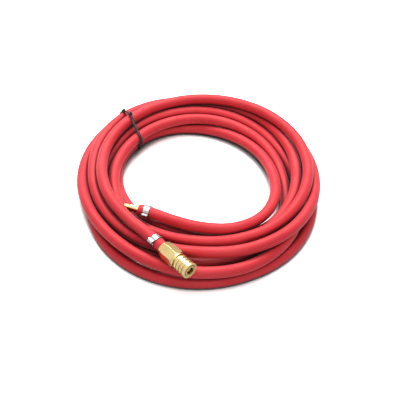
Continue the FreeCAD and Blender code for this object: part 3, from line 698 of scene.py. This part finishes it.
def tie_pieces(path):
    """Strap round the bundle with its knots and tail, in twisted black cord."""
    origin, outward, aside = tie_frame()
    reach = HOSE_RADIUS + TIE_GAP + TIE_HALF_THICKNESS
    loop = round_the_bundle(hull(strands_at_tie(path)), reach, TIE_STEP)
    middle = sum(z for _, z, _, _ in loop) / len(loop)
    spine = []
    for along, height, nx, ny in loop:
        shift = side_shift(along) if height > middle else 0.0
        point = origin + outward * along + aside * shift + Vector((0, 0, height))
        spine.append((point, aside.copy(), outward * nx + Vector((0, 0, ny))))
    strap = sweep("tie_band", spine, TIE_HALF_WIDTH, TIE_HALF_THICKNESS, True,
                  lambda share: TIE_SWING * math.sin(2.0 * math.pi * share * TIE_TWISTS))
    low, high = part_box("tie_knot")
    seat = (Vector(low) + Vector(high)) / 2.0 / MM - Vector((AXIS_X, AXIS_Y, 0))
    lean = min(spine, key=lambda item: (item[0] - seat).length)[2]
    outer = knot("tie_outer_knot", seat, lean, *OUTER_KNOT)
    crest = max(spine, key=lambda item: item[0].z)
    upper = knot("tie_upper_knot", crest[0] + crest[2] * UPPER_STAND, crest[2], *UPPER_KNOT)
    inner_side = [item for item in spine if item[0].z > middle * INNER_HEIGHT]
    turn = min(inner_side, key=lambda item: (item[0] - origin).dot(outward))
    lower = knot("tie_lower_knot", turn[0] + turn[2] * LOWER_STAND, turn[2], *LOWER_KNOT)
    start = turn[0] + turn[2] * TAIL_STAND
    wide = aside * TAIL_LEAN[0] + Vector((0, 0, TAIL_LEAN[1]))
    tail_spine = []
    for step in range(TAIL_STEPS):
        share = step / (TAIL_STEPS - 1)
        drop = Vector((0, 0, TAIL_DROP * share ** TAIL_CURVE))
        bow = turn[2] * math.sin(math.pi * share)
        tail_spine.append((start + aside * TAIL_REACH * share - drop + bow, turn[2], wide))
    tail = sweep("tie_tail", tail_spine, TAIL_HALF_WIDTH, TAIL_HALF_THICKNESS, False,
                 lambda share: TAIL_TURN * share)
    return strap, outer, [upper, lower, tail]


# Springs

def spring_piece(name, node, turns, wire, travel, joint):
    """Wound spring in its CAD node's place."""
    origin = row(COUPLER_FACE)
    spots = [vertex.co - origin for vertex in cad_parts[node].data.vertices]
    runs = [spot.dot(COUPLER_WAY) for spot in spots]
    outer = max((spot - COUPLER_WAY * run).length for spot, run in zip(spots, runs))
    start, end = min(runs), max(runs)
    half = wire * MM / 2.0
    across = COUPLER_WAY.orthogonal().normalized()
    along = COUPLER_WAY.cross(across)
    count = int(turns * SPRING_STEPS)
    line = []
    for index in range(count + 1):
        share = index / count
        run = start + half + (end - start - 2.0 * half) * share
        turn = 2.0 * math.pi * turns * share
        out = across * math.cos(turn) + along * math.sin(turn)
        line.append((origin + COUPLER_WAY * run + out * (outer - half), out))
    verts = []
    for index, (point, out) in enumerate(line):
        way = (line[min(index + 1, count)][0] - line[max(index - 1, 0)][0]).normalized()
        side = way.cross(out).normalized()
        for step in range(WIRE_SIDES):
            angle = 2.0 * math.pi * step / WIRE_SIDES
            around = out * math.cos(angle) + side * math.sin(angle)
            verts.append(point + around * half * WIRE_FIT)
    faces = []
    for index in range(count):
        for step in range(WIRE_SIDES):
            a = index * WIRE_SIDES
            after = (step + 1) % WIRE_SIDES
            faces.append((a + step, a + after, a + WIRE_SIDES + after, a + WIRE_SIDES + step))
    faces.append(tuple(reversed(range(WIRE_SIDES))))
    faces.append(tuple(range(count * WIRE_SIDES, (count + 1) * WIRE_SIDES)))
    piece = add_object(name, verts, faces)
    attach(piece, BODY)
    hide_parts(node)
    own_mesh(piece)
    return piece


# Materials

def nodes_of(name):
    material = bpy.data.materials.new(name)
    material.use_nodes = True
    tree = material.node_tree
    return material, tree, tree.nodes["Principled BSDF"]


def math_node(tree, operation, first, second=None):
    node = tree.nodes.new("ShaderNodeMath")
    node.operation = operation
    for socket, value in zip(node.inputs, (first, second)):
        if value is None:
            continue
        if isinstance(value, (int, float)):
            socket.default_value = value
        else:
            tree.links.new(value, socket)
    return node.outputs[0]


def noise(tree, vector, scale, detail=3.0, roughness=0.55):
    node = tree.nodes.new("ShaderNodeTexNoise")
    node.inputs["Scale"].default_value = scale
    node.inputs["Detail"].default_value = detail
    node.inputs["Roughness"].default_value = roughness
    tree.links.new(vector, node.inputs["Vector"])
    return node.outputs["Fac"]


def ramp(tree, value, stops):
    node = tree.nodes.new("ShaderNodeValToRGB")
    elements = node.color_ramp.elements
    while len(elements) < len(stops):
        elements.new(0.5)
    for element, (place, colour) in zip(elements, stops):
        element.position = place
        element.color = (*colour, 1.0)
    tree.links.new(value, node.inputs["Fac"])
    return node.outputs["Color"]


def spread(pair):
    """A pair of levels as grey stops at the low and high of a pattern."""
    return ((PATTERN_LOW, (pair[0],) * 3), (PATTERN_HIGH, (pair[1],) * 3))


def bump(tree, shader, height, distance, strength):
    node = tree.nodes.new("ShaderNodeBump")
    node.inputs["Distance"].default_value = distance
    node.inputs["Strength"].default_value = strength
    tree.links.new(height, node.inputs["Height"])
    tree.links.new(node.outputs["Normal"], shader.inputs["Normal"])
    return node


def painted_shade_factor(tree, reach, stops):
    """Painted shade: how open a spot is within a reach, as a factor that darkens a colour, low
    in gaps and recesses.
    """
    node = tree.nodes.new("ShaderNodeAmbientOcclusion")
    node.samples = PAINTED_SHADE_SAMPLES
    node.inputs["Distance"].default_value = reach
    return ramp(tree, node.outputs["AO"], [(place, (level,) * 3) for place, level in stops])


def times(tree, colour, factor):
    """A colour dimmed by a factor."""
    node = tree.nodes.new("ShaderNodeVectorMath")
    node.operation = "MULTIPLY"
    tree.links.new(colour, node.inputs[0])
    tree.links.new(factor, node.inputs[1])
    return node.outputs[0]


def coordinates(tree, output="Object"):
    return tree.nodes.new("ShaderNodeTexCoord").outputs[output]


def rubber_material():
    """Matte red rubber with the fine cross-hatched print of its wrapping cloth, and painted
    shade between strands.
    """
    material, tree, shader = nodes_of("hose_rubber")
    uv = coordinates(tree, "UV")
    split = tree.nodes.new("ShaderNodeSeparateXYZ")
    tree.links.new(uv, split.inputs[0])
    around, along = split.outputs[0], split.outputs[1]
    pitch = 2.0 * math.pi / WEAVE_PITCH
    threads = []
    for operation in ("ADD", "SUBTRACT"):
        lean = math_node(tree, operation, around, along)
        threads.append(math_node(tree, "SINE", math_node(tree, "MULTIPLY", lean, pitch)))
    weave = math_node(tree, "MULTIPLY", math_node(tree, "ADD", *threads), WEAVE_DEPTH)
    grain = noise(tree, coordinates(tree), *RUBBER_GRAIN)
    height = math_node(tree, "ADD", weave, math_node(tree, "MULTIPLY", grain, GRAIN_DEPTH))
    bump(tree, shader, height, *RUBBER_RELIEF)
    colour = ramp(tree, noise(tree, coordinates(tree), *RUBBER_PATCHES), RUBBER_TONES)
    # Painted shade: the base colour darkens where other strands hem a spot in
    painted_gap_shade = painted_shade_factor(tree, RUBBER_PAINTED_SHADE_REACH, RUBBER_PAINTED_SHADE)
    tree.links.new(times(tree, colour, painted_gap_shade), shader.inputs["Base Color"])
    rough = ramp(tree, noise(tree, coordinates(tree), RUBBER_POLISH), spread(RUBBER_ROUGHNESS))
    tree.links.new(rough, shader.inputs["Roughness"])
    shader.inputs["Specular IOR Level"].default_value = RUBBER_SPECULAR
    shader.inputs["Sheen Weight"].default_value = SHEEN_WEIGHT
    shader.inputs["Sheen Roughness"].default_value = SHEEN_ROUGHNESS
    shader.inputs["Sheen Tint"].default_value = SHEEN_TINT
    return material


def metal_material(name, colours, roughness, axis=None):
    """Metal with slightly uneven polish, softened edges, painted shade in recesses, and
    turning marks along an axis."""
    material, tree, shader = nodes_of(name)
    shader.inputs["Metallic"].default_value = 1.0
    where = coordinates(tree)
    colour = ramp(tree, noise(tree, where, METAL_PATCHES),
                  ((PATTERN_LOW, colours[0]), (PATTERN_HIGH, colours[1])))
    # Painted shade: the base colour darkens in recesses and where other parts close in
    painted_groove_shade = painted_shade_factor(tree, METAL_PAINTED_SHADE_REACH, METAL_PAINTED_SHADE)
    tree.links.new(times(tree, colour, painted_groove_shade), shader.inputs["Base Color"])
    rough = ramp(tree, noise(tree, where, METAL_POLISH), spread(roughness))
    tree.links.new(rough, shader.inputs["Roughness"])
    height = noise(tree, where, *METAL_GRAIN)
    if axis is not None:
        dot = tree.nodes.new("ShaderNodeVectorMath")
        dot.operation = "DOT_PRODUCT"
        tree.links.new(where, dot.inputs[0])
        dot.inputs[1].default_value = axis
        wave = math_node(tree, "SINE", math_node(tree, "MULTIPLY", dot.outputs["Value"],
                                                 2.0 * math.pi / TURNING_PITCH))
        marks = math_node(tree, "MULTIPLY", wave, TURNING_DEPTH)
        height = math_node(tree, "ADD", height, marks)
    relief = bump(tree, shader, height, *METAL_RELIEF)
    edges = tree.nodes.new("ShaderNodeBevel")
    edges.samples = EDGE_SAMPLES
    edges.inputs["Radius"].default_value = EDGE_RADIUS
    tree.links.new(edges.outputs[0], relief.inputs["Normal"])
    return material


def black_material(name, colours):
    """Dull black rubber or plastic with a fine grain."""
    material, tree, shader = nodes_of(name)
    shader.inputs["Roughness"].default_value = BLACK_ROUGHNESS
    where = coordinates(tree)
    colour = ramp(tree, noise(tree, where, *BLACK_PATCHES),
                  ((PATTERN_LOW, colours[0]), (PATTERN_HIGH, colours[1])))
    tree.links.new(colour, shader.inputs["Base Color"])
    bump(tree, shader, noise(tree, where, BLACK_GRAIN), *BLACK_RELIEF)
    return material


def seen_rays(tree):
    """1 for rays of the camera and those of gloss and clear paths, else 0."""
    path = tree.nodes.new("ShaderNodeLightPath")
    return math_node(tree, "MAXIMUM", path.outputs["Is Camera Ray"],
                     math_node(tree, "MAXIMUM", path.outputs["Is Glossy Ray"],
                               path.outputs["Is Transmission Ray"]))


def floor_material():
    """Pale matt floor; the camera and reflections see it lighter, never by added
    light, so that it keeps the object's shadow. Painted shade darkens it under and between the
    strands."""
    material = bpy.data.materials.new("pale_floor")
    material.use_nodes = True
    tree = material.node_tree
    tree.nodes.clear()
    out = tree.nodes.new("ShaderNodeOutputMaterial")
    diffuse = tree.nodes.new("ShaderNodeBsdfDiffuse")
    path = tree.nodes.new("ShaderNodeLightPath")
    mirrored = math_node(tree, "MAXIMUM", path.outputs["Is Glossy Ray"],
                         path.outputs["Is Transmission Ray"])
    seen = math_node(tree, "MULTIPLY", path.outputs["Is Camera Ray"], FLOOR_SEEN)
    added = math_node(tree, "ADD", seen, math_node(tree, "MULTIPLY", mirrored, FLOOR_MIRRORED))
    shade = math_node(tree, "ADD", added, FLOOR_SHADE)
    # Painted shade: darker under and between the strands
    painted_gap_shade = painted_shade_factor(tree, FLOOR_PAINTED_SHADE_REACH, FLOOR_PAINTED_SHADE)
    tree.links.new(times(tree, shade, painted_gap_shade), diffuse.inputs["Color"])
    tree.links.new(diffuse.outputs[0], out.inputs["Surface"])
    return material


def give(obj, material):
    obj.data.materials.clear()
    obj.data.materials.append(material)


# Stage

def stage():
    """Floor and world."""
    half = FLOOR_HALF
    corners = [(-half, -half, 0), (half, -half, 0), (half, half, 0), (-half, half, 0)]
    floor = add_object("floor", corners, [(0, 1, 2, 3)], smooth=False)
    give(floor, floor_material())
    world = bpy.data.worlds.new("studio")
    bpy.context.scene.world = world
    world.use_nodes = True
    tree = world.node_tree
    background = tree.nodes["Background"]
    background.inputs["Color"].default_value = (1.0, 1.0, 1.0, 1.0)
    seen = math_node(tree, "MULTIPLY", seen_rays(tree), WORLD_SEEN)
    light = math_node(tree, "ADD", seen, WORLD_LIGHT)
    tree.links.new(light, background.inputs["Strength"])


def lamp(name, place, size, power):
    data = bpy.data.lights.new(name, "AREA")
    data.shape = "RECTANGLE"
    data.size, data.size_y = size
    data.energy = power
    obj = bpy.data.objects.new(name, data)
    bpy.context.scene.collection.objects.link(obj)
    way = Vector(LAMP_TARGET) - Vector(place)
    obj.location = place
    obj.rotation_euler = way.to_track_quat("-Z", "Y").to_euler()


def camera():
    target = row((CAMERA_TARGET[0], CAMERA_TARGET[1], CAMERA_TARGET[2] - SETTLE))
    rise = math.radians(CAMERA_RISE)
    distance = CAMERA_DISTANCE * MM
    data = bpy.data.cameras.new("camera")
    data.lens = CAMERA_LENS
    data.sensor_width = CAMERA_SENSOR
    data.sensor_fit = "HORIZONTAL"
    data.clip_start = CAMERA_CLIP
    obj = bpy.data.objects.new("camera", data)
    bpy.context.scene.collection.objects.link(obj)
    obj.location = target + Vector((0.0, -math.cos(rise), math.sin(rise))) * distance
    obj.rotation_euler = (target - obj.location).to_track_quat("-Z", "Y").to_euler()
    bpy.context.scene.camera = obj


camera()
stage()
for light in LAMPS:
    lamp(*light)
bpy.context.scene.view_settings.view_transform = "Standard"

rubber = rubber_material()
coupler_brass = metal_material("coupler_brass", BRASS_TONES, BRASS_ROUGHNESS, tuple(COUPLER_WAY))
plug_brass = metal_material("plug_brass", BRASS_TONES, BRASS_ROUGHNESS, tuple(PLUG_WAY))
zinc = metal_material("zinc_band", ZINC_TONES, ZINC_ROUGHNESS)
steel = metal_material("spring_steel", STEEL_TONES, STEEL_ROUGHNESS)
seal = black_material("seal_rubber", SEAL_TONES)
black = black_material("tie_plastic", TIE_TONES)

finishes = (
    (coupler_brass, ("coupler_stem", "coupler_body", "locking_sleeve", "coupler_valve")),
    (plug_brass, ("hose_plug",)),
    (zinc, ("coupler_clamp", "plug_clamp")),
    (steel, ("locking_balls", "sleeve_spring", "valve_spring", "snap_ring")),
    (seal, ("plug_seal", "valve_seal")),
    (black, ("tie_strap", "tie_knot")),
    (rubber, ("hose",)),
)
for finish, names in finishes:
    for name in names:
        give(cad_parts[name], finish)

path = spline_points(control_points())
hose, path_points = hose_tube(path)
give(hose, rubber)
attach(hose, BODY)
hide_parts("hose")
springs = [spring_piece(*spring) for spring in SPRINGS]
for spring in springs:
    give(spring, steel)

strap, outer_knot, tie_extras = tie_pieces(path)
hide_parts("tie_strap")
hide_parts("tie_knot")
for piece in [strap, outer_knot] + tie_extras:
    give(piece, black)
    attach(piece, BODY)
